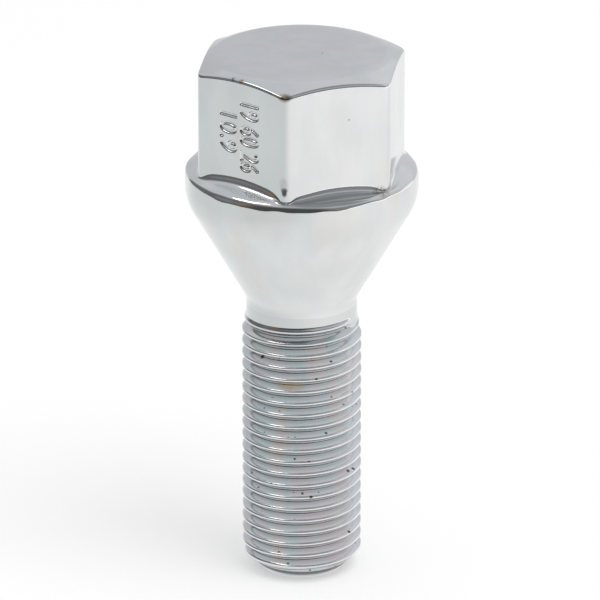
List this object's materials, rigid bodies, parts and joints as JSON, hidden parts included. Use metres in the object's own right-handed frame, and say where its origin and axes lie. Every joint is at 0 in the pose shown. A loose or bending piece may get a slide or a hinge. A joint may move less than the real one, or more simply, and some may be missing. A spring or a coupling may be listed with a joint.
{
  "type": "wheel bolt",
  "caption": "Cone-seat wheel bolt: a forged hex head on a collar, a cone that centres the wheel, a short plain neck and a metric fine threaded shank with a chamfered flat tip.",
  "frame": {"origin": "centre of the flat tip of the thread, which the bolt stands on", "axes": "+Z along the bolt's axis, from the tip up to the head; a corner of the hexagon points to -Y and one to +Y"},
  "size_m": [0.023, 0.023, 0.054],
  "materials": {
    "plated_steel": "bright plated steel, cold forged, with a faint rainbow tint on the rolled thread"
  },
  "bodies": {
    "root": {"wheel_bolt": "plated_steel"}
  },
  "joints": []
}
